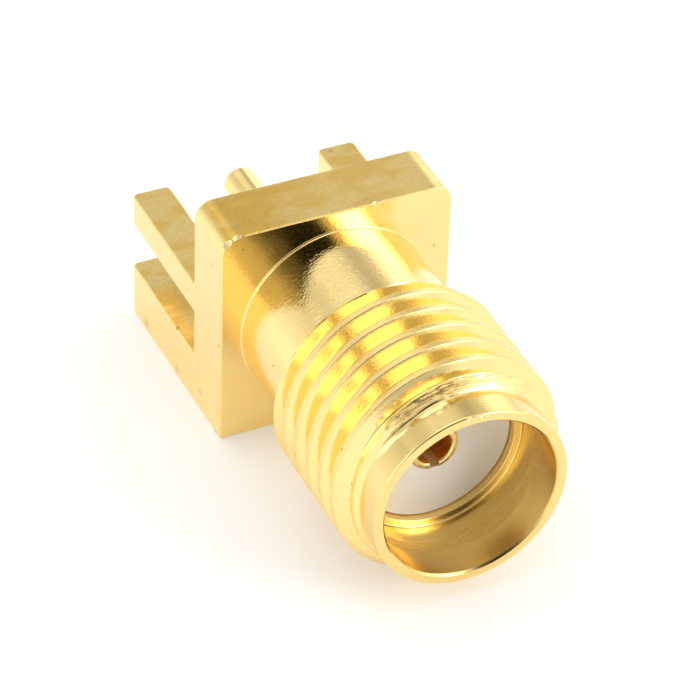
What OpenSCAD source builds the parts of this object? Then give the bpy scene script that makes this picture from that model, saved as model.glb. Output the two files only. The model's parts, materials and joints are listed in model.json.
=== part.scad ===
// End-launch coaxial jack for the edge of a circuit board
// The axis runs along Y and the mouth faces -Y.
// y = 0 is the flange's back face, where the board's edge stops.

/* [Flange] */
// Width of the flange
flange_w = 6.35; // [6.35:0.05:9]
// Height of the flange
flange_h = 6.35; // [6.35:0.05:9]
// Thickness of the flange
flange_t = 1.75; // [1:0.05:3]
// Radius of the flange's two upper corners
flange_corner_r = 0.5; // [0.1:0.05:1]

/* [Board legs] */
// Length of the legs behind the flange
leg_len = 4.15; // [2:0.05:8]
// Width of a leg
leg_w = 1.05; // [0.6:0.05:1.6]
// Height of a lower leg
lower_leg_h = 1.55; // [0.8:0.05:1.8]
// Height of an upper leg
upper_leg_h = 0.9; // [0.5:0.05:1.5]
// Gap between the lower and upper legs, which takes the board
board_slot = 1.35; // [0.8:0.05:2]
// Radius of the corners at a leg's end
leg_corner_r = 0.15; // [0.05:0.05:0.25]

/* [Barrel] */
// Length of the barrel in front of the flange
barrel_len = 7.95; // [7.5:0.05:14]
// Diameter of the plain neck
neck_d = 5.2; // [5:0.05:5.4]
// Length of the plain neck
neck_len = 2.6; // [1:0.05:3]
// Size of the small fillet at the neck's root
neck_fillet = 0.08; // [0.02:0.02:0.2]
// Diameter over the thread's crests
thread_d = 6.2; // [6.1:0.05:7]
// Distance from one turn of the thread to the next
thread_pitch = 0.706; // [0.5:0.002:0.85]
// Width of the flat on the thread's crest
thread_crest = 0.165; // [0.1:0.005:0.3]
// Width of the flat at the bottom of the thread's groove
thread_root = 0.1; // [0.05:0.01:0.2]
// Angle round the axis at which the groove leaves through the front chamfer
thread_clock = 315; // [0:5:360]
// Diameter of the plain pilot in front of the thread
pilot_d = 5.2; // [5:0.02:5.4]
// Length of the pilot
pilot_len = 0.84; // [0.2:0.02:1.5]

/* [Mouth] */
// Diameter of the mouth
mouth_d = 4.62; // [4.4:0.02:4.8]
// Depth of the mouth down to the step
mouth_depth = 1.92; // [1:0.02:3]
// Bevel on the edges of the front rim
rim_bevel = 0.05; // [0.02:0.01:0.08]

/* [Insulator] */
// Diameter of the bore that holds the insulator
insulator_d = 4.2; // [3:0.05:4.3]
// Depth of the insulator's face behind the step
insulator_recess = 0.2; // [0:0.05:0.6]
// Gap left round each pressed-in piece
press_gap = 0.01; // [0.005:0.005:0.03]

/* [Center contact] */
// Diameter of the contact inside the insulator
contact_d = 1.27; // [1.1:0.01:1.6]
// How far the contact stands out of the insulator's face
contact_out = 0.06; // [0.02:0.02:0.2]
// Diameter of the socket's hole
socket_d = 0.92; // [0.7:0.01:1]
// Depth of the socket's hole
socket_depth = 2.9; // [1.5:0.1:4]
// Width of the cut that splits the socket into two fingers
finger_slot_w = 0.26; // [0.1:0.02:0.4]
// Length of that cut
finger_slot_len = 2.2; // [0.5:0.1:4]
// Diameter of the barb that holds the contact in the insulator
barb_d = 1.7; // [1.62:0.02:2.4]
// Length of the barb
barb_len = 0.7; // [0.3:0.05:1]
// Distance of the barb's shoulder from the insulator's back face
barb_setback = 0.9; // [0.4:0.05:1.5]
// Diameter of the solder pin
pin_d = 0.9; // [0.5:0.02:1.1]
// Length of the solder pin behind the flange
pin_len = 4.45; // [1:0.05:8]
// Bevel on the solder pin's end
pin_bevel = 0.08; // [0.02:0.02:0.2]

/* [Hidden] */
$fn = 96;

// Cuts run this far past the faces that they open
over = 0.1;
// Half of the angle between the two flanks of the thread
flank_angle = 30;
// Flat pieces that make up one turn of the groove
turn_steps = 36;

gold = [0.87, 0.7, 0.36];
ptfe = [0.93, 0.9, 0.87];

// Places along the axis, measured forward from the flange's back face
front = flange_t + barrel_len;
neck_end = flange_t + neck_len;
step_at = front - mouth_depth;
insulator_front = step_at - insulator_recess;
contact_front = insulator_front + contact_out;
pilot_at = front - pilot_len;
crest_end = pilot_at - (thread_d - pilot_d) / 2;
crest_start = neck_end + (thread_d - neck_d) / 2;

// The flanks meet the crest and the root, and so fix the groove's depth
thread_depth = (thread_pitch - thread_crest - thread_root) / 2 / tan(flank_angle);
thread_r = thread_d / 2;
// The groove runs from the open air over the neck to the open air over the pilot
groove_start = neck_end - thread_pitch / 2;
groove_end = pilot_at + thread_root / 2;
groove_turns = (groove_end - groove_start) / thread_pitch;

// Heights of the legs, from the axis
leg_bottom = -flange_h / 2;
slot_bottom = leg_bottom + lower_leg_h;
slot_top = slot_bottom + board_slot;

// Turns a shape made along +Z so that it points out of the mouth
module along_axis() {
    rotate([90, 0, 0]) children();
}

// Rectangle from the origin up, with its two far corners rounded
module rounded_end(width, length, r) {
    translate([-width / 2, 0]) square([width, length - r]);
    translate([r - width / 2, 0]) square([width - 2 * r, length]);
    for (side = [-1, 1])
        translate([side * (width / 2 - r), length - r]) circle(r);
}

module flange() {
    along_axis()
        translate([0, -flange_h / 2])
            linear_extrude(flange_t)
                rounded_end(flange_w, flange_h, flange_corner_r);
}

// One leg, from inside the flange to its rounded end
module leg(side, bottom, height) {
    x = side * (flange_w - leg_w) / 2;
    translate([x, -flange_t / 2, bottom])
        linear_extrude(height)
            rounded_end(leg_w, leg_len + flange_t / 2, leg_corner_r);
}

module legs() {
    for (side = [-1, 1]) {
        leg(side, leg_bottom, lower_leg_h);
        leg(side, slot_top, upper_leg_h);
    }
}

// Neck, thread blank with its two chamfers, and pilot, as one turned profile
module barrel() {
    neck_r = neck_d / 2;
    pilot_r = pilot_d / 2;
    along_axis()
        rotate_extrude()
            polygon([
                [0, 0],
                [neck_r + neck_fillet, 0],
                [neck_r + neck_fillet, flange_t],
                [neck_r, flange_t + neck_fillet],
                [neck_r, neck_end],
                [thread_r, crest_start],
                [thread_r, crest_end],
                [pilot_r, pilot_at],
                [pilot_r, front - rim_bevel],
                [pilot_r - rim_bevel, front],
                [0, front]
            ]);
}

// Mouth with its bevelled edge, and the bore behind it
module bores() {
    along_axis() {
        translate([0, 0, step_at]) cylinder(d = mouth_d, h = mouth_depth + over);
        translate([0, 0, front - rim_bevel])
            cylinder(d1 = mouth_d, d2 = mouth_d + 2 * (rim_bevel + over), h = rim_bevel + over);
        translate([0, 0, -over]) cylinder(d = insulator_d, h = step_at + 2 * over);
    }
}

// Right-hand helical groove
module thread_groove() {
    // Corners of the groove's section, as [radius, place along the axis]
    root_r = thread_r - thread_depth;
    top_r = (thread_r + over) / cos(180 / turn_steps);
    half_root = thread_root / 2;
    half_top = half_root + (top_r - root_r) * tan(flank_angle);
    section = [[top_r, -half_top], [root_r, -half_root], [root_r, half_root], [top_r, half_top]];

    steps = ceil(groove_turns * turn_steps);
    corners = len(section);
    points = [
        for (i = [0:steps])
            let (turn = groove_turns * i / steps)
            let (angle = thread_clock - 360 * (groove_turns - turn))
            let (place = groove_start + turn * thread_pitch)
            for (corner = section)
                [corner[0] * cos(angle), corner[0] * sin(angle), place + corner[1]]
    ];
    sides = [
        for (i = [0:steps - 1])
            for (k = [0:corners - 1])
                let (a = corners * i + k)
                let (b = corners * i + (k + 1) % corners)
                for (face = [[b, a, b + corners], [b + corners, a, a + corners]])
                    face
    ];
    first_end = [for (k = [0:corners - 1]) k];
    last_end = [for (k = [corners - 1:-1:0]) corners * steps + k];
    along_axis() polyhedron(points, concat(sides, [first_end, last_end]), convexity = 10);
}

module body() {
    color(gold)
        difference() {
            union() {
                flange();
                legs();
                barrel();
            }
            bores();
            thread_groove();
        }
}

// Outside of the contact as one turned profile, made larger all round by grow
module contact_blank(grow) {
    along_axis()
        rotate_extrude()
            polygon([
                [0, -pin_len],
                [pin_d / 2 - pin_bevel, -pin_len],
                [pin_d / 2, pin_bevel - pin_len],
                [pin_d / 2, 0],
                [contact_d / 2 + grow, 0],
                [contact_d / 2 + grow, barb_setback - grow],
                [barb_d / 2 + grow, barb_setback - grow],
                [contact_d / 2 + grow, barb_setback + barb_len + grow],
                [contact_d / 2 + grow, contact_front],
                [0, contact_front]
            ]);
}

module insulator() {
    color(ptfe)
        difference() {
            along_axis() cylinder(d = insulator_d - 2 * press_gap, h = insulator_front);
            contact_blank(press_gap);
        }
}

module center_contact() {
    color(gold)
        difference() {
            contact_blank(0);
            along_axis() {
                translate([0, 0, contact_front - socket_depth])
                    cylinder(d = socket_d, h = socket_depth + over);
                translate([-finger_slot_w / 2, -contact_d, contact_front - finger_slot_len])
                    cube([finger_slot_w, 2 * contact_d, finger_slot_len + over]);
            }
        }
}

body();
insulator();
center_contact();
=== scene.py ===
"""Looks of an end-launch coaxial jack: gold-plated body, white sleeve and split contact on a pale floor."""
import json
import math
import random

import bmesh
import bpy
from mathutils import Matrix, Vector, noise


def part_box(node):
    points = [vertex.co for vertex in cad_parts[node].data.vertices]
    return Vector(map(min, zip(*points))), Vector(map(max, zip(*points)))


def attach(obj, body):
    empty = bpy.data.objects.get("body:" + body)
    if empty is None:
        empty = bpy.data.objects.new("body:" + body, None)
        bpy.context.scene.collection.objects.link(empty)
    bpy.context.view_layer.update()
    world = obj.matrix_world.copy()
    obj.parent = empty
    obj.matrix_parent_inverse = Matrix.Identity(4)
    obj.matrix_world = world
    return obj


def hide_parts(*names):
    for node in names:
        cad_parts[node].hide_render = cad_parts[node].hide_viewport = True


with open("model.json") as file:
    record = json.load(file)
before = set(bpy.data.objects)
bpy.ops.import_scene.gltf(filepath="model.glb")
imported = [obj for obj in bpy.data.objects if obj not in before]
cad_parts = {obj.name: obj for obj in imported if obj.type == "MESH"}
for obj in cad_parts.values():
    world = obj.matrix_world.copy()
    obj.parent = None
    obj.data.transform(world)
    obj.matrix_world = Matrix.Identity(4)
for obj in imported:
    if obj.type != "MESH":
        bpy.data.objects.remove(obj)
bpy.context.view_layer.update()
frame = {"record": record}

# Shapes are drawn in millimetres and scaled to metres when they are done
MM = 0.001


def box_mm(node):
    """Lowest and highest corner of a CAD node, in millimetres."""
    return [Vector(corner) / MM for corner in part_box(node)]


mount_sizes = {mount["name"]: mount["dims"] for mount in frame["record"]["mounts"]}
body_low, body_high = box_mm("body")
sleeve_low = box_mm("insulator")[0]
contact_low, contact_high = box_mm("center_contact")

# Radii of the turned end
NECK_R = 2.6
THREAD_R = mount_sizes["coupling_thread"]["r_mm"]
PILOT_R = 2.6
MOUTH_R = mount_sizes["mating_mouth"]["r_mm"]
BORE_R = 2.1

# Lengths along the axis
FLANGE_T = 1.75
NECK_LEN = 2.6
PILOT_LEN = 0.84
MOUTH_DEPTH = 1.92

# Places along the axis, measured forward from the flange's back face; both chamfers are at 45 degrees
FRONT = -body_low.y
NECK_END = FLANGE_T + NECK_LEN
CREST_START = NECK_END + THREAD_R - NECK_R
PILOT_START = FRONT - PILOT_LEN
CREST_END = PILOT_START - THREAD_R + PILOT_R
STEP = FRONT - MOUTH_DEPTH
SLEEVE_FRONT = -sleeve_low.y
CONTACT_FRONT = -contact_low.y
CONTACT_BACK = -contact_high.y

# Thread: a right-hand groove with steep flanks, which leaves through the front chamfer at an angle in degrees
PITCH = 0.706
CREST_FLAT = 0.165
THREAD_DEPTH = 0.382
FLANK = math.tan(math.radians(25))
ROOT_FLAT = PITCH - CREST_FLAT - 2 * THREAD_DEPTH * FLANK
GROOVE_PAST_CHAMFER = 0.05
GROOVE_END = PILOT_START + GROOVE_PAST_CHAMFER
GROOVE_END_ANGLE = 315
# How far the chamfers' edges and the groove's edges and bottom are rounded over
CHAMFER_ROUND = 0.03
CREST_ROUND = 0.022
ROOT_ROUND = 0.06

# Flange and legs
FLANGE_CORNER_R = 0.5
LEG_W = 1.05
LEG_CORNER_R = 0.15
LOWER_LEG_H = 1.55
BOARD_SLOT = 1.35
UPPER_LEG_H = 0.9
SLOT_BOTTOM = body_low.z + LOWER_LEG_H
SLOT_TOP = SLOT_BOTTOM + BOARD_SLOT
UPPER_LEG_TOP = SLOT_TOP + UPPER_LEG_H

# Contact
CONTACT_R = 0.635
SOCKET_R = mount_sizes["center_socket"]["r_mm"]
SOCKET_DEPTH = mount_sizes["center_socket"]["length_mm"]
SOCKET_END = CONTACT_FRONT - SOCKET_DEPTH
PIN_R = mount_sizes["signal_pin"]["r_mm"]
BARB_R = contact_high.x
BARB_BACK = 0.9
BARB_FRONT = 1.6
FINGER_SLOT_W = 0.26
FINGER_SLOT_LEN = 2.2
PRESS_GAP = 0.01

# Radii of rounded edges
EDGE_R = 0.05
NECK_FILLET_R = 0.06
RIM_R = 0.06
STEP_EDGE_R = 0.02
STEP_ROOT_R = 0.05
SLEEVE_FRONT_R = 0.06
SLEEVE_BACK_R = 0.05
SLEEVE_HOLE_R = 0.02
PIN_END_R = 0.09
SOCKET_OUTER_R = 0.04
SOCKET_INNER_R = 0.06
SOCKET_BOTTOM_R = 0.05
# Bevel on the mouth's edge
RIM_BEVEL = 0.05

# Nicks in the body: the middle and the radius of a ball that has bitten into it
NICKS = [
    ((-3.14, -1.89, 3.12), 0.30),
    ((-2.77, -1.89, 3.31), 0.28),
    ((1.03, -1.85, 3.28), 0.20),
    ((-0.18, -9.78, 2.54), 0.12),
    ((0.17, -9.78, 2.53), 0.12),
    ((0.89, -8.24, 3.04), 0.12),
    ((-0.76, -9.17, 2.67), 0.20)]
# Small chips along the flange's front edge, at its top, also bitten by balls
CHIPS = 26
CHIP_SEED = 7
CHIP_REACH = 2.7
CHIP_R = (0.05, 0.1)
# Distance of a ball's middle from the two faces at that edge, as a share of the ball's radius
CHIP_OUT = (0.4, 0.6)

# Torn lip that the cutting of the thread left on the front chamfer: angles, height and width
LIP_ANGLES = (62, 150)
LIP_HEIGHT = 0.27
LIP_W = 0.075
# Distance of the lip in front of the groove's middle
LIP_AHEAD = 0.215
# Ragged height of the lip: its mean share, how far it strays, and the waves in one turn
LIP_MEAN = 0.9
LIP_STRAY = 0.45
LIP_WAVES = 150
# Scallops at the lip's foot, each with its angle and half its width
SCALLOPS = [(108, 11), (133, 13)]
SCALLOP_HEIGHT = 0.045
SCALLOP_LEN = 0.11
SCALLOP_AT = PILOT_START - 0.02

# Specks and smudges of dirt: place, radius and strength
SPECKS = [
    ((-3.17, -1.09, 2.01), 0.045, 0.7),
    ((-3.17, 0.38, 0.15), 0.045, 0.7),
    ((-3.17, -1.64, -0.20), 0.06, 0.7),
    ((-3.17, 1.13, -1.61), 0.1, 0.85),
    ((-3.17, -0.44, -2.59), 0.15, 0.35),
    ((-3.17, 3.15, -2.92), 0.2, 0.4),
    ((-3.17, 1.09, -2.95), 0.16, 0.3),
    ((-3.17, -1.5, -3.1), 0.08, 0.6),
    ((2.45, 3.95, 0.62), 0.09, 0.7),
    ((2.73, -1.75, 1.36), 0.06, 0.6),
    ((-2.60, -1.75, 2.74), 0.06, 0.7),
    ((-2.56, -3.64, 0.43), 0.06, 0.7),
    ((-2.80, -8.21, 1.32), 0.055, 0.8),
    ((-2.68, -8.57, 0.47), 0.05, 0.7)]

# Columns round each turned surface
BODY_COLUMNS = 240
SLEEVE_COLUMNS = 160
CONTACT_COLUMNS = 128
# Cutting solids run this far past the faces that they open
PAST = 0.1
# Points of a finished mesh that are nearer than this become one
CLOSE = 2e-4
# Edges sharper than this stay sharp
SHARP_ANGLE = math.radians(35)
# Faces larger than this, in square millimetres, are shaded as flat
FLAT_AREA = 0.3

# Places in the body's list of materials
MILLED = 0
TURNED = 1
CHIPPED = 2


def smooth_min(a, b, reach):
    """The smaller of two values, rounded over where they are nearer than reach."""
    share = min(1, max(0, 0.5 + 0.5 * (b - a) / reach))
    return b * (1 - share) + a * share - reach * share * (1 - share)


def smooth_max(a, b, reach):
    """The larger of two values, rounded over in the same way."""
    return -smooth_min(-a, -b, reach)


def rounded(points, steps=5):
    """Outline through (radius, place, corner radius) points, with an arc at each corner that has a radius."""
    outline = []
    last = len(points) - 1
    for i, (r, place, corner) in enumerate(points):
        here = Vector((r, place))
        if corner == 0 or i in (0, last):
            outline.append(here)
            continue
        back = (Vector(points[i - 1][:2]) - here).normalized()
        ahead = (Vector(points[i + 1][:2]) - here).normalized()
        half = back.angle(ahead) / 2
        reach = corner / math.tan(half)
        centre = here + (back + ahead).normalized() * (corner / math.sin(half))
        start = here + back * reach - centre
        sweep = start.angle_signed(here + ahead * reach - centre)
        for k in range(steps + 1):
            turn = Matrix.Rotation(-sweep * k / steps, 2)
            outline.append(centre + turn @ start)
    return outline


def ring_point(r, place, angle):
    """Point at a radius and a place forward along the axis. The angle runs from +X towards +Z."""
    return Vector((r * math.cos(angle), -place, r * math.sin(angle)))


def skin(columns):
    """Quads between neighbouring columns of points, with points in one place merged."""
    no_width = 1e-7
    no_length = 1e-6
    same_place = 1e-5
    bm = bmesh.new()
    rows = [[bm.verts.new(point) for point in column] for column in columns]
    for left, right in zip(rows, rows[1:]):
        for a, b, c, d in zip(left, left[1:], right[1:], right):
            if (a.co - d.co).length + (b.co - c.co).length > no_width:
                bm.faces.new((a, b, c, d))
    bmesh.ops.remove_doubles(bm, verts=bm.verts, dist=same_place)
    bmesh.ops.dissolve_degenerate(bm, dist=no_length, edges=bm.edges)
    bmesh.ops.recalc_face_normals(bm, faces=bm.faces)
    return bm


def lathe(outline, columns):
    """Solid of revolution from an outline of (radius, place) points."""
    angles = [2 * math.pi * j / columns for j in range(columns + 1)]
    return skin([[ring_point(r, place, angle) for r, place in outline] for angle in angles])


def helix_place(turn):
    """Place of the groove's middle after a number of turns round the axis, counted from +X."""
    return GROOVE_END + (turn - GROOVE_END_ANGLE / 360) * PITCH


def hump(away):
    """1 in the middle, falling to nothing on both sides."""
    return math.exp(-away * away)


def burr(place, turn):
    """Height of the torn lip in front of the groove's last turn, and of the scallops at its foot."""
    height = 0
    angle = turn * 360
    first, last = LIP_ANGLES
    if first < angle < last:
        ragged = LIP_MEAN + LIP_STRAY * noise.noise(Vector((turn * LIP_WAVES, 0, 0)))
        rise = math.sin(math.pi * (angle - first) / (last - first))
        height += LIP_HEIGHT * ragged * rise * hump((place - helix_place(turn) - LIP_AHEAD) / LIP_W)
    for middle, reach in SCALLOPS:
        if abs(angle - middle) < reach:
            rise = math.cos(math.pi / 2 * (angle - middle) / reach)
            height += SCALLOP_HEIGHT * rise * hump((place - SCALLOP_AT) / SCALLOP_LEN)
    return height


def thread_radius(place, turn):
    """Radius of the barrel from the neck to the pilot, with the groove's edges and bottom rounded."""
    rise = NECK_R + place - NECK_END
    fall = THREAD_R - place + CREST_END
    behind = smooth_min(smooth_max(NECK_R, rise, CHAMFER_ROUND), THREAD_R, CHAMFER_ROUND)
    blank = smooth_min(behind, smooth_max(PILOT_R, fall, CHAMFER_ROUND), CHAMFER_ROUND)
    along = (place - helix_place(turn)) / PITCH
    offset = abs(along - round(along)) * PITCH
    root = THREAD_R - THREAD_DEPTH
    groove = smooth_max(root, root + (offset - ROOT_FLAT / 2) / FLANK, ROOT_ROUND)
    return smooth_min(blank + burr(place, turn), groove, CREST_ROUND)


def thread_row_offsets():
    """Places within one turn, closest together at the edges of the crest."""
    flank_rows = 14
    root_margin = 0.03
    crest_margin = 0.016
    crest_rows = (-0.008, 0, 0.008, 0.018, 0.035, 0.06)
    half_top = (PITCH - CREST_FLAT) / 2
    flank_start = ROOT_FLAT / 2 - root_margin
    flank_end = half_top - crest_margin
    near = [0, flank_start / 2]
    near += [flank_start + (flank_end - flank_start) * i / flank_rows for i in range(flank_rows + 1)]
    near += [half_top + row for row in crest_rows]
    return [-x for x in reversed(near[1:])] + near + [PITCH / 2]


def barrel():
    """Neck, threaded zone and pilot as one solid that reaches into the flange."""
    zone_start = NECK_END - 0.1
    zone_end = PILOT_START + 0.22
    root = FLANGE_T - 0.6
    collar_r = NECK_R + 0.3
    sunk = 0.004
    behind = rounded([
        (0, root, 0), (collar_r, root, 0), (collar_r, FLANGE_T, 0), (NECK_R, FLANGE_T, NECK_FILLET_R),
        (NECK_R, zone_start, 0)])
    # The fillet leaves the flange's face a little below it, so that the two surfaces cross
    behind = [(r, place - sunk if place < FLANGE_T + 1e-4 else place) for r, place in behind]
    ahead = rounded([(PILOT_R, zone_end, 0), (PILOT_R, FRONT, RIM_R), (0, FRONT, 0)])
    # Two spare turns at either end give every column rows as far as the zone's ends
    first = math.floor((zone_start - helix_place(0)) / PITCH) - 2
    last = math.ceil((zone_end - helix_place(0)) / PITCH) + 2
    rows = [k * PITCH + offset for k in range(first, last) for offset in thread_row_offsets()]
    columns = []
    for j in range(BODY_COLUMNS + 1):
        turn = j / BODY_COLUMNS
        angle = 2 * math.pi * turn
        column = [ring_point(r, place, angle) for r, place in behind]
        for row in rows:
            place = min(zone_end, max(zone_start, helix_place(turn) + row))
            column.append(ring_point(thread_radius(place, turn), place, angle))
        column += [ring_point(r, place, angle) for r, place in ahead]
        columns.append(column)
    return skin(columns)


def bores():
    """Mouth, step and sleeve bore as one solid to cut away."""
    start = -1
    end = FRONT + PAST
    outline = rounded([
        (0, start, 0), (BORE_R, start, 0), (BORE_R, STEP, STEP_EDGE_R), (MOUTH_R, STEP, STEP_ROOT_R),
        (MOUTH_R, FRONT - RIM_BEVEL, 0), (MOUTH_R + RIM_BEVEL + PAST, end, 0), (0, end, 0)])
    return lathe(outline, BODY_COLUMNS)


def nick_balls():
    """Middle and radius of every ball that has left a nick or a chip."""
    balls = list(NICKS)
    chance = random.Random(CHIP_SEED)
    for _ in range(CHIPS):
        radius = chance.uniform(*CHIP_R)
        out = radius * chance.uniform(*CHIP_OUT)
        x = chance.uniform(-CHIP_REACH, CHIP_REACH)
        balls.append(((x, -FLANGE_T - out, body_high.z + out), radius))
    return balls


def cell_solid(xs, ys, zs, filled):
    """Closed shell round the filled cells of a grid, with flat faces joined."""
    bm = bmesh.new()
    grid = {}

    def corner(i, j, k):
        if (i, j, k) not in grid:
            grid[i, j, k] = bm.verts.new((xs[i], ys[j], zs[k]))
        return grid[i, j, k]

    # Each side of a cell: the step to its neighbour, and its four corners
    sides = (
        ((-1, 0, 0), ((0, 0, 0), (0, 0, 1), (0, 1, 1), (0, 1, 0))),
        ((1, 0, 0), ((1, 0, 0), (1, 1, 0), (1, 1, 1), (1, 0, 1))),
        ((0, -1, 0), ((0, 0, 0), (1, 0, 0), (1, 0, 1), (0, 0, 1))),
        ((0, 1, 0), ((0, 1, 0), (0, 1, 1), (1, 1, 1), (1, 1, 0))),
        ((0, 0, -1), ((0, 0, 0), (0, 1, 0), (1, 1, 0), (1, 0, 0))),
        ((0, 0, 1), ((0, 0, 1), (1, 0, 1), (1, 1, 1), (0, 1, 1))))
    for i, j, k in filled:
        for (di, dj, dk), corners in sides:
            if (i + di, j + dj, k + dk) not in filled:
                bm.faces.new([corner(i + a, j + b, k + c) for a, b, c in corners])
    bmesh.ops.dissolve_limit(bm, angle_limit=math.radians(1), verts=bm.verts, edges=bm.edges)
    return bm


def bevel(bm, edges, radius, segments):
    """Rounds edges over."""
    bmesh.ops.bevel(
        bm, geom=edges, offset=radius, offset_type="OFFSET", segments=segments, profile=0.5,
        affect="EDGES", clamp_overlap=True)


def flange_and_legs():
    """Flange with its four legs, with rounded corners and broken edges."""
    half_w = body_high.x
    inner = half_w - LEG_W
    xs = [-half_w, -inner, inner, half_w]
    ys = [-FLANGE_T, 0, body_high.y]
    zs = [body_low.z, SLOT_BOTTOM, SLOT_TOP, UPPER_LEG_TOP, body_high.z]
    filled = {(i, 0, k) for i in range(3) for k in range(4)}
    filled |= {(i, 1, k) for i in (0, 2) for k in (0, 2)}
    bm = cell_solid(xs, ys, zs, filled)

    def along(edge, axis):
        return abs((edge.verts[1].co - edge.verts[0].co).normalized()[axis]) > 0.99

    def at(edge, axis, place):
        return all(abs(v.co[axis] - place) < 1e-4 for v in edge.verts)

    top_corners = [e for e in bm.edges if along(e, 1) and at(e, 2, body_high.z)]
    bevel(bm, top_corners, FLANGE_CORNER_R, segments=10)
    leg_ends = [e for e in bm.edges if along(e, 2) and at(e, 1, body_high.y)]
    bevel(bm, leg_ends, LEG_CORNER_R, segments=5)
    sharp = [e for e in bm.edges if e.is_manifold and e.calc_face_angle() > math.radians(40)]
    bevel(bm, sharp, EDGE_R, segments=3)
    bmesh.ops.recalc_face_normals(bm, faces=bm.faces)
    return bm


def make_object(name, bm, materials, choose=lambda face: 0):
    """Object in millimetres. The choose function gives a face's place in the list of materials."""
    mesh = bpy.data.meshes.new(name)
    bm.normal_update()
    for face in bm.faces:
        face.material_index = choose(face)
        face.smooth = True
    bm.to_mesh(mesh)
    bm.free()
    for material in materials:
        mesh.materials.append(material)
    thing = bpy.data.objects.new(name, mesh)
    bpy.context.scene.collection.objects.link(thing)
    return thing


def apply_modifiers(thing):
    """Makes the shape that an object's modifiers give its own mesh."""
    graph = bpy.context.evaluated_depsgraph_get()
    mesh = bpy.data.meshes.new_from_object(thing.evaluated_get(graph))
    thing.modifiers.clear()
    old = thing.data
    thing.data = mesh
    bpy.data.meshes.remove(old)


def combine(thing, other, operation):
    """Joins another solid to this one, or cuts it away."""
    modifier = thing.modifiers.new("combine", "BOOLEAN")
    modifier.object = other
    modifier.operation = operation
    modifier.solver = "MANIFOLD"
    modifier.material_mode = "INDEX"
    apply_modifiers(thing)
    bpy.data.objects.remove(other)


def nick_tool(materials):
    """All the balls of the nicks as one solid, in the chipped material."""
    tool = None
    for centre, radius in nick_balls():
        bm = bmesh.new()
        bmesh.ops.create_icosphere(bm, subdivisions=2, radius=radius, matrix=Matrix.Translation(centre))
        ball = make_object("nick_ball", bm, materials, lambda face: CHIPPED)
        if tool is None:
            tool = ball
        else:
            combine(tool, ball, "UNION")
    return tool


def drop_slivers(mesh):
    """Merges points that cutting has left almost in one place, and the slivers between them."""
    bm = bmesh.new()
    bm.from_mesh(mesh)
    bmesh.ops.remove_doubles(bm, verts=bm.verts, dist=CLOSE)
    bmesh.ops.dissolve_degenerate(bm, dist=CLOSE, edges=bm.edges)
    bm.to_mesh(mesh)
    bm.free()


def flatten_normals(mesh):
    """Lets rounded edges flow out of the large flat faces, whose own shading stays flat."""
    normals = [corner.vector.copy() for corner in mesh.corner_normals]
    corners = {}
    for face in mesh.polygons:
        for corner in face.loop_indices:
            corners.setdefault(mesh.loops[corner].vertex_index, []).append((corner, face.normal))
    for face in mesh.polygons:
        if face.area < FLAT_AREA:
            continue
        for vertex in face.vertices:
            for corner, normal in corners[vertex]:
                if normal.angle(face.normal, 0) < SHARP_ANGLE:
                    normals[corner] = face.normal
    mesh.normals_split_custom_set(normals)


def finish_piece(thing, node):
    """Cleans a piece, sets its normals, scales it to metres, hangs it under the root and hides the CAD node
    that it replaces.
    """
    drop_slivers(thing.data)
    thing.data.set_sharp_from_angle(angle=SHARP_ANGLE)
    modifier = thing.modifiers.new("normals", "WEIGHTED_NORMAL")
    modifier.keep_sharp = True
    apply_modifiers(thing)
    flatten_normals(thing.data)
    thing.data.transform(Matrix.Scale(MM, 4))
    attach(thing, "root")
    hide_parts(node)


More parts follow.
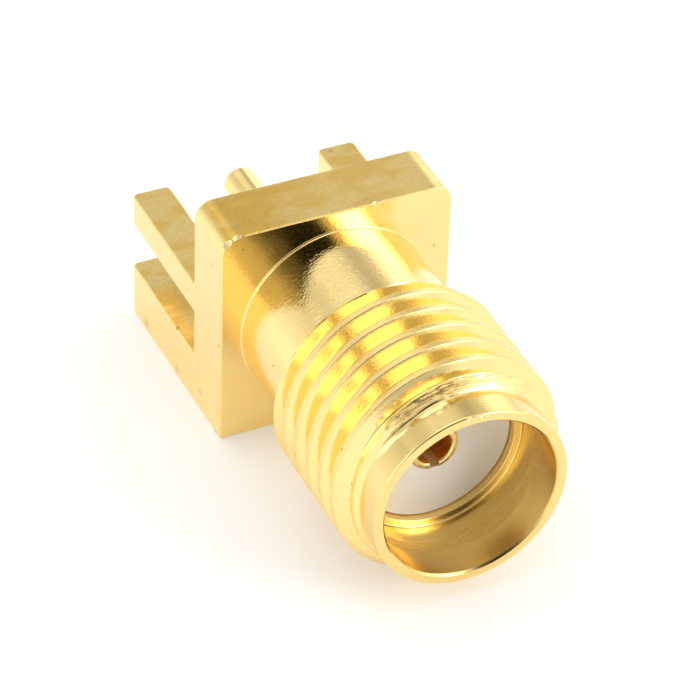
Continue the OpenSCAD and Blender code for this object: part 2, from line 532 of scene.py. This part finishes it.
class Graph:
    """Short ways to add and link nodes in one node tree."""

    def __init__(self, owner):
        owner.use_nodes = True
        self.owner = owner
        self.tree = owner.node_tree

    def node(self, kind, inputs=None, **settings):
        """New node with its settings, and with a value or a link on each input."""
        node = self.tree.nodes.new("ShaderNode" + kind)
        for key, value in settings.items():
            setattr(node, key, value)
        for key, value in (inputs or {}).items():
            self.feed(value, node.inputs[key])
        return node

    def feed(self, value, socket):
        """Links another node's output to a socket, or sets the socket's own value."""
        if isinstance(value, bpy.types.NodeSocket):
            self.tree.links.new(value, socket)
        else:
            socket.default_value = value

    def math(self, operation, a, b=0.0):
        return self.node("Math", {0: a, 1: b}, operation=operation).outputs[0]

    def times(self, *factors):
        product = factors[0]
        for factor in factors[1:]:
            product = self.math("MULTIPLY", product, factor)
        return product

    def largest(self, *values):
        result = values[0]
        for value in values[1:]:
            result = self.math("MAXIMUM", result, value)
        return result

    def vector(self, operation, a, b=(0, 0, 0)):
        return self.node("VectorMath", {0: a, 1: b}, operation=operation).outputs[0]

    def measure(self, operation, a, b=(0, 0, 0)):
        """Vector operation that gives a single number."""
        return self.node("VectorMath", {0: a, 1: b}, operation=operation).outputs["Value"]

    def axes(self, vector):
        return self.node("SeparateXYZ", {0: vector}).outputs

    def noise(self, vector, scales, detail=3):
        """Noise from 0 to 1, with a number of waves a millimetre along each axis."""
        inputs = {"Vector": self.vector("MULTIPLY", vector, scales), "Scale": 1, "Detail": detail}
        return self.node("TexNoise", inputs).outputs["Fac"]

    def remap(self, value, low, high, to_low, to_high):
        """Takes the range from low to high evenly to another range, and holds its ends beyond."""
        inputs = {"Value": value, "From Min": low, "From Max": high, "To Min": to_low, "To Max": to_high}
        return self.node("MapRange", inputs).outputs["Result"]

    def mix(self, share, a, b):
        """Colour between two colours."""
        node = self.node("Mix", data_type="RGBA")
        self.feed(share, node.inputs["Factor"])
        self.feed(a, node.inputs[6])
        self.feed(b, node.inputs[7])
        return node.outputs[2]

    def step(self, value, low, high):
        """Rises smoothly from 0 to 1 between two values, or falls where low is the higher one."""
        inputs = {"Value": value, "From Min": low, "From Max": high}
        return self.node("MapRange", inputs, interpolation_type="SMOOTHSTEP").outputs["Result"]

    def band(self, value, low, high, soft):
        """1 between two values, falling to 0 over a soft edge on either side."""
        rise = self.step(value, low - soft, low + soft)
        fall = self.step(value, high + soft, high - soft)
        return self.times(rise, fall)

    def place_mm(self):
        """Place on the object in millimetres."""
        return self.vector("MULTIPLY", self.node("TexCoord").outputs["Object"], (1 / MM, 1 / MM, 1 / MM))

    def bump(self, height, depth_mm, normal=None):
        """Normal of a surface raised by up to a depth, on top of another normal where one is given."""
        inputs = {"Height": height, "Distance": depth_mm * MM, "Strength": 1}
        if normal is not None:
            inputs["Normal"] = normal
        return self.node("Bump", inputs).outputs["Normal"]


def new_material(name):
    """Graph of a new material, and its shader."""
    g = Graph(bpy.data.materials.new(name))
    return g, g.tree.nodes["Principled BSDF"]


# Colours of the materials
GOLD = (1.0, 0.77, 0.325, 1)
GOLD_WARM = (0.97, 0.71, 0.26, 1)
# Deep gold, used as painted shade on the mouth's inner wall and, at a lesser share, from the pilot forward
GOLD_SHADE_DEEP = (0.82, 0.59, 0.2, 1)
GOLD_WORN = (0.92, 0.62, 0.2, 1)
# Dull, darker gold, painted shade on the faces that face up
GOLD_DULL_SHADE = (0.74, 0.475, 0.1, 1)
# Near-black brown on the torn lip's streaks: partly torn metal, partly painted dark shade
GOLD_TORN_SHADE = (0.25, 0.19, 0.09, 1)
GOLD_FRESH = (1.0, 0.82, 0.4, 1)
DIRT = (0.44, 0.32, 0.1, 1)
# Deep orange inside the socket, painted shade
SOCKET_SHADE_DARK = (0.85, 0.36, 0.07, 1)
SOCKET_SHADE_LIGHT = (0.95, 0.5, 0.14, 1)
PTFE_CREAM = (0.98, 0.94, 0.87, 1)
PTFE_WHITE = (0.99, 0.96, 0.91, 1)


def dirt(g, place):
    """Strength of the dirt: 0 on clean metal, rising in each speck, with ragged edges."""
    ragged = g.remap(g.noise(place, (25, 25, 25)), 0.3, 0.7, -0.02, 0.02)
    found = []
    for spot, radius, strength in SPECKS:
        distance = g.math("ADD", g.measure("DISTANCE", place, spot), ragged)
        inside = g.step(distance, 1.1 * radius, 0.3 * radius)
        found.append(g.times(inside, strength))
    return g.largest(*found)


def finish_gold(g, shader, place, colour, roughness, normal):
    """Puts the specks of dirt on plated metal and links it to the shader."""
    dirt_roughness = 0.6
    specks = dirt(g, place)
    g.feed(g.mix(specks, colour, DIRT), shader.inputs["Base Color"])
    g.feed(g.largest(roughness, g.times(specks, dirt_roughness)), shader.inputs["Roughness"])
    g.feed(normal, shader.inputs["Normal"])
    shader.inputs["Metallic"].default_value = 1
    return g.owner


def scuffed_chamfer(g, along, outward):
    """1 on the front chamfer, but only in front of the groove's last turn, where the metal is scuffed."""
    turns = g.times(g.math("ARCTAN2", outward[2], outward[0]), 0.5 / math.pi)
    ahead = g.math("SUBTRACT", g.math("SUBTRACT", along, helix_place(0)), g.times(turns, PITCH))
    slope = g.band(along, CREST_END + 0.02, PILOT_START - 0.06, 0.06)
    return g.times(slope, g.step(ahead, 0.17, 0.22))


def turned_gold(name):
    """Bright plating over turned metal, with fine rings, worn crests and a scuffed front chamfer; the torn
    lip, the mouth's inner wall and the front from the pilot on are darkened as painted shade.
    """
    g, shader = new_material(name)
    place = g.place_mm()
    flat = g.vector("MULTIPLY", place, (1, 0, 1))
    radius = g.measure("LENGTH", flat)
    along = g.times(g.axes(place)[1], -1)
    outward = g.axes(g.vector("NORMALIZE", flat))
    across = g.math("SUBTRACT", along, g.times(radius, 0.6))
    ring_place = g.node("CombineXYZ", {0: outward[0], 1: across, 2: outward[2]}).outputs[0]
    rings = g.noise(ring_place, (2, 20, 2), 4)
    scuffs = g.noise(ring_place, (24, 14, 24), 3)
    streaks = g.noise(ring_place, (8, 22, 8), 4)
    grain = g.noise(place, (16, 16, 16), 4)
    patches = g.noise(place, (1.3, 1.3, 1.3), 4)

    # Zones
    crest = g.times(
        g.step(radius, THREAD_R - 0.035, THREAD_R - 0.012), g.step(along, NECK_END, CREST_START))
    neck = g.band(along, FLANGE_T + 0.4, NECK_END - 0.1, 0.2)
    chamfer = scuffed_chamfer(g, along, outward)
    torn = g.times(chamfer, g.band(outward[0], -0.57, 0.05, 0.15), g.step(outward[2], 0, 0.2))
    scuffed = g.times(chamfer, g.step(streaks, 0.42, 0.6))
    inside = g.times(g.step(radius, MOUTH_R + 0.05, MOUTH_R + 0.02), g.step(along, 0, 1))
    wall = g.times(inside, g.step(along, STEP + 0.03, STEP + 0.1))
    pilot = g.step(along, PILOT_START - 0.05, PILOT_START + 0.05)

    colour = g.mix(g.remap(patches, 0.4, 0.75, 0, 0.4), GOLD, GOLD_WARM)
    colour = g.mix(g.times(crest, g.remap(scuffs, 0.3, 0.7, 0.6, 0.2)), colour, GOLD_WORN)
    # The torn lip's streaks go near-black brown: the tear and its roughness are real, the darkness of the
    # colour is painted shade
    colour = g.mix(g.times(torn, g.step(streaks, 0.6, 0.44)), colour, GOLD_TORN_SHADE)
    # Painted shade: the mouth's inner wall is darkened to a deeper gold, and everything from the pilot
    # forward at a lesser share
    colour = g.mix(g.largest(wall, g.times(pilot, 0.45)), colour, GOLD_SHADE_DEEP)
    roughness = g.remap(grain, 0.3, 0.75, 0.07, 0.14)
    for zone, more in ((crest, 0.16), (scuffed, 0.3), (torn, 0.25), (inside, 0.14)):
        roughness = g.math("ADD", roughness, g.times(zone, more))
    normal = g.bump(rings, 0.0015)
    normal = g.bump(grain, 0.002, normal)
    normal = g.bump(g.times(neck, scuffs), 0.006, normal)
    normal = g.bump(g.times(chamfer, streaks), 0.014, normal)
    return finish_gold(g, shader, place, colour, roughness, normal)


def milled_gold(name):
    """Plating over milled metal, with lines along the cut, and a dull, mottled darker gold on what faces up,
    strongest on the flange's left half, that is painted shade.
    """
    g, shader = new_material(name)
    place = g.place_mm()
    lines = g.noise(place, (1.2, 10, 10), 2)
    grain = g.noise(place, (10, 10, 10), 2)
    patches = g.noise(place, (1.2, 1.2, 1.2), 4)
    mottle = g.noise(place, (0.9, 1.8, 1.8), 4)
    waves = g.noise(place, (0.9, 1.8, 1.8), 1)

    # Zones of painted shade: what faces up, and the flange's left half
    facing = g.axes(g.node("NewGeometry").outputs["Normal"])[2]
    up = g.step(facing, 0.6, 0.95)
    axes = g.axes(place)
    left = g.times(g.step(axes[0], 0, body_low.x), g.step(axes[1], 0.1, -0.1), 0.65)

    clouds = g.math("ADD", g.remap(patches, 0.4, 0.75, 0, 0.4), g.remap(grain, 0.4, 0.7, 0, 0.3))
    # Painted shade: faces that face up are darkened to a dull, mottled gold, more so on the flange's left
    # half
    dull = g.times(up, g.math("ADD", g.remap(mottle, 0.4, 0.6, 0.15, 0.8), left))
    colour = g.mix(clouds, GOLD, GOLD_WARM)
    colour = g.mix(dull, colour, GOLD_DULL_SHADE)
    roughness = g.remap(grain, 0.3, 0.75, 0.14, 0.2)
    roughness = g.math("ADD", roughness, g.times(up, g.remap(mottle, 0.3, 0.7, 0.06, 0.2)))
    normal = g.bump(lines, 0.0008)
    normal = g.bump(waves, 0.016, normal)
    return finish_gold(g, shader, place, colour, roughness, normal)


def chipped_gold(name):
    """Torn, matt metal in the nicks."""
    g, shader = new_material(name)
    grain = g.noise(g.place_mm(), (30, 30, 30), 3)
    g.feed(g.remap(grain, 0.3, 0.7, 0.25, 0.45), shader.inputs["Roughness"])
    g.feed(g.bump(grain, 0.01), shader.inputs["Normal"])
    shader.inputs["Base Color"].default_value = GOLD_FRESH
    shader.inputs["Metallic"].default_value = 1
    return g.owner


def socket_gold(name):
    """Dull plating inside the socket, coloured a deep orange as painted shade for the light that is thrown
    back and forth there.
    """
    g, shader = new_material(name)
    rings = g.noise(g.place_mm(), (3, 12, 3), 3)
    colour = g.mix(g.remap(rings, 0.35, 0.65, 0, 1), SOCKET_SHADE_DARK, SOCKET_SHADE_LIGHT)
    g.feed(colour, shader.inputs["Base Color"])
    g.feed(g.remap(rings, 0.3, 0.7, 0.4, 0.6), shader.inputs["Roughness"])
    g.feed(g.bump(rings, 0.01), shader.inputs["Normal"])
    shader.inputs["Metallic"].default_value = 0.8
    return g.owner


def ptfe(name):
    """White, waxy fluoropolymer with faint clouds and marks from its cutting."""
    g, shader = new_material(name)
    place = g.place_mm()
    clouds = g.noise(place, (1.6, 1.6, 1.6), 3)
    marks = g.noise(place, (7, 7, 7), 4)
    colour = g.mix(g.remap(clouds, 0.35, 0.7, 0, 1), PTFE_CREAM, PTFE_WHITE)
    g.feed(colour, shader.inputs["Base Color"])
    g.feed(g.remap(marks, 0.3, 0.7, 0.36, 0.5), shader.inputs["Roughness"])
    shader.inputs["Subsurface Weight"].default_value = 0.12
    shader.inputs["Subsurface Radius"].default_value = (0.7 * MM, 0.6 * MM, 0.5 * MM)
    g.feed(g.bump(marks, 0.006), shader.inputs["Normal"])
    return g.owner


def flange_material(face):
    """The flange's front was faced on the lathe, and the rest of it was milled."""
    return TURNED if face.normal.y < -0.9 else MILLED


def build_body(materials):
    """Flange, legs and barrel as one piece, with its bores and its nicks."""
    body = make_object("body_gold", flange_and_legs(), materials, flange_material)
    combine(body, make_object("barrel_part", barrel(), materials, lambda face: TURNED), "UNION")
    combine(body, make_object("bore_tool", bores(), materials, lambda face: TURNED), "DIFFERENCE")
    combine(body, nick_tool(materials), "DIFFERENCE")
    finish_piece(body, "body")


def build_sleeve(material):
    """Tube round the contact, with a seat for its barb."""
    outer_r = BORE_R - PRESS_GAP
    hole_r = CONTACT_R + PRESS_GAP
    outline = rounded([
        (hole_r, 0, 0), (outer_r, 0, SLEEVE_BACK_R), (outer_r, SLEEVE_FRONT, SLEEVE_FRONT_R),
        (hole_r, SLEEVE_FRONT, SLEEVE_HOLE_R), (hole_r, BARB_FRONT, 0), (BARB_R + PRESS_GAP, BARB_BACK, 0),
        (hole_r, BARB_BACK, 0), (hole_r, 0, 0)])
    sleeve = make_object("sleeve_white", lathe(outline, SLEEVE_COLUMNS), [material])
    finish_piece(sleeve, "insulator")


def in_socket(face):
    """1 on the socket's wall and bottom, 0 on the rest of the contact."""
    middle = face.calc_center_median()
    return int(math.hypot(middle.x, middle.z) < SOCKET_R and -middle.y > SOCKET_END - 0.01)


def finger_slot():
    """Block that splits the socket into two fingers."""
    size = (FINGER_SLOT_W, FINGER_SLOT_LEN + PAST, 2 * (CONTACT_R + PAST))
    middle = CONTACT_FRONT + PAST - size[1] / 2
    matrix = Matrix.Translation((0, -middle, 0)) @ Matrix.Diagonal((*size, 1))
    bm = bmesh.new()
    bmesh.ops.create_cube(bm, size=1, matrix=matrix)
    return bm


def build_contact(materials):
    """Solder pin, barb and split socket as one turned piece."""
    outline = rounded([
        (0, CONTACT_BACK, 0), (PIN_R, CONTACT_BACK, PIN_END_R), (PIN_R, 0, 0), (CONTACT_R, 0, 0),
        (CONTACT_R, BARB_BACK, 0), (BARB_R, BARB_BACK, 0), (CONTACT_R, BARB_FRONT, 0),
        (CONTACT_R, CONTACT_FRONT, SOCKET_OUTER_R), (SOCKET_R, CONTACT_FRONT, SOCKET_INNER_R),
        (SOCKET_R, SOCKET_END, SOCKET_BOTTOM_R), (0, SOCKET_END, 0)])
    contact = make_object("contact_gold", lathe(outline, CONTACT_COLUMNS), materials, in_socket)
    combine(contact, make_object("slot_tool", finger_slot(), materials), "DIFFERENCE")
    finish_piece(contact, "center_contact")


gold_turned = turned_gold("gold_turned")
gold_milled = milled_gold("gold_milled")
gold_chipped = chipped_gold("gold_chipped")
gold_socket = socket_gold("gold_socket")
white_sleeve = ptfe("white_sleeve")
build_body([gold_milled, gold_turned, gold_chipped])
build_sleeve(white_sleeve)
build_contact([gold_turned, gold_socket])

# Surroundings: a white light tent with a dark opening for the camera.
# Directions are in degrees: azimuth from +Y towards +X, and elevation.
# Brightness of the walls by elevation
WALLS = {0: 1.08, 5: 1.05, 14: 0.93, 25: 0.77, 46: 0.77, 58: 0.9, 72: 1.15}
# Panels, each over the ones before: azimuths, elevations, softness of the edge, brightness
PANELS = [
    ((-22, 8), (30, 48), 7, 0.95),
    ((-42, 23), (52, 72), 4, 2.2),
    ((-104, -54), (5, 38), 5, 2.1),
    ((-66, -41), (30, 41), 3, 2.0),
    ((-40, -18), (48, 56), 2.5, 2.1),
    ((-40, -32), (42, 47), 2, 0.45),
    ((33, 48), (8, 30), 4, 1.55),
    ((57, 95), (12, 50), 5, 1.5),
    ((29, 48), (44, 62), 4, 0.58),
    ((17, 30), (32, 47), 4, 0.55),
    ((108, 146), (9, 45), 6, 1.75),
    ((129, 151), (11, 36), 5, 6.4),
    ((-128, -112), (4, 34), 5, 1.3),
    ((-156, -132), (0, 28), 5, 0.6),
    ((156, 200), (0, 24), 7, 0.62),
    ((188, 222), (21, 58), 8, 0.12),
    ((161, 205), (21, 58), 6, 0.004)]


def grey(brightness):
    """Colour without a hue."""
    return (brightness, brightness, brightness, 1)


def walls(g, elevation):
    """Colour of the tent's walls by elevation."""
    ramp = g.node("ValToRGB", {0: g.math("DIVIDE", elevation, 90.0)})
    stops = ramp.color_ramp.elements
    for i, (height, brightness) in enumerate(WALLS.items()):
        stop = stops[i] if i < 2 else stops.new(height / 90)
        stop.position = height / 90
        stop.color = grey(brightness)
    return ramp.outputs[0]


def panel(g, azimuth, elevation, under, azimuths, elevations, soft, brightness):
    """Lays a soft-edged patch over the surroundings, between two azimuths and two elevations."""
    middle = (azimuths[0] + azimuths[1]) / 2
    around = g.node("Math", {0: azimuth, 1: middle + 180, 2: middle - 180}, operation="WRAP").outputs[0]
    across = g.band(around, *azimuths, soft)
    upward = g.band(elevation, *elevations, soft)
    return g.mix(g.times(across, upward), under, grey(brightness))


def light_tent():
    """Lights the scene by its surroundings."""
    world = bpy.data.worlds.new("studio")
    bpy.context.scene.world = world
    g = Graph(world)
    axes = g.axes(g.node("TexCoord").outputs["Generated"])
    azimuth = g.math("DEGREES", g.math("ARCTAN2", axes[0], axes[1]))
    elevation = g.math("DEGREES", g.math("ARCSINE", axes[2]))
    light = walls(g, elevation)
    for settings in PANELS:
        light = panel(g, azimuth, elevation, light, *settings)
    g.feed(light, g.tree.nodes["Background"].inputs["Color"])


# Floor: half its width in metres, its brightness, and what it adds where it is seen
FLOOR_HALF = 0.6
FLOOR_BRIGHTNESS = 0.87
FLOOR_GLOW = 0.22


def floor_white(name):
    """Matt white, a little brighter to the camera and in reflections."""
    g, shader = new_material(name)
    shader.inputs["Base Color"].default_value = grey(FLOOR_BRIGHTNESS)
    shader.inputs["Specular IOR Level"].default_value = 0
    shader.inputs["Emission Color"].default_value = grey(1)
    rays = g.node("LightPath").outputs
    seen = g.largest(rays["Is Camera Ray"], rays["Is Glossy Ray"], rays["Is Transmission Ray"])
    g.feed(g.times(seen, FLOOR_GLOW), shader.inputs["Emission Strength"])
    return g.owner


def lay_floor():
    """Square floor at the foot of the part."""
    floor_z = body_low.z * MM
    signs = ((-1, -1), (1, -1), (1, 1), (-1, 1))
    corners = [(x * FLOOR_HALF, y * FLOOR_HALF, floor_z) for x, y in signs]
    floor_mesh = bpy.data.meshes.new("floor")
    floor_mesh.from_pydata(corners, [], [(0, 1, 2, 3)])
    floor_mesh.materials.append(floor_white("floor_white"))
    floor = bpy.data.objects.new("floor", floor_mesh)
    bpy.context.scene.collection.objects.link(floor)


# Camera, fitted to the photograph: the point it looks at, its direction, roll and distance, and its lens
CAMERA_TARGET = Vector((-0.228, -3.154, -0.126)) * MM
CAMERA_AZIMUTH = math.radians(25.909)
CAMERA_ELEVATION = math.radians(38.283)
CAMERA_ROLL = math.radians(2.031)
CAMERA_DISTANCE = 103.707 * MM
CAMERA_LENS = 211.27
SENSOR_WIDTH = 36
CLIP_START = 0.01


def place_camera():
    """Camera at the photograph's viewing angle."""
    level = math.cos(CAMERA_ELEVATION)
    look = Vector((
        math.sin(CAMERA_AZIMUTH) * level, math.cos(CAMERA_AZIMUTH) * level, -math.sin(CAMERA_ELEVATION)))
    camera_data = bpy.data.cameras.new("camera")
    camera_data.sensor_fit = "HORIZONTAL"
    camera_data.sensor_width = SENSOR_WIDTH
    camera_data.lens = CAMERA_LENS
    camera_data.clip_start = CLIP_START
    camera = bpy.data.objects.new("camera", camera_data)
    turn = look.to_track_quat("-Z", "Y").to_matrix().to_4x4() @ Matrix.Rotation(CAMERA_ROLL, 4, "Z")
    camera.matrix_world = Matrix.Translation(CAMERA_TARGET - look * CAMERA_DISTANCE) @ turn
    bpy.context.scene.collection.objects.link(camera)
    bpy.context.scene.camera = camera


light_tent()
lay_floor()
place_camera()
bpy.context.scene.view_settings.view_transform = "Standard"
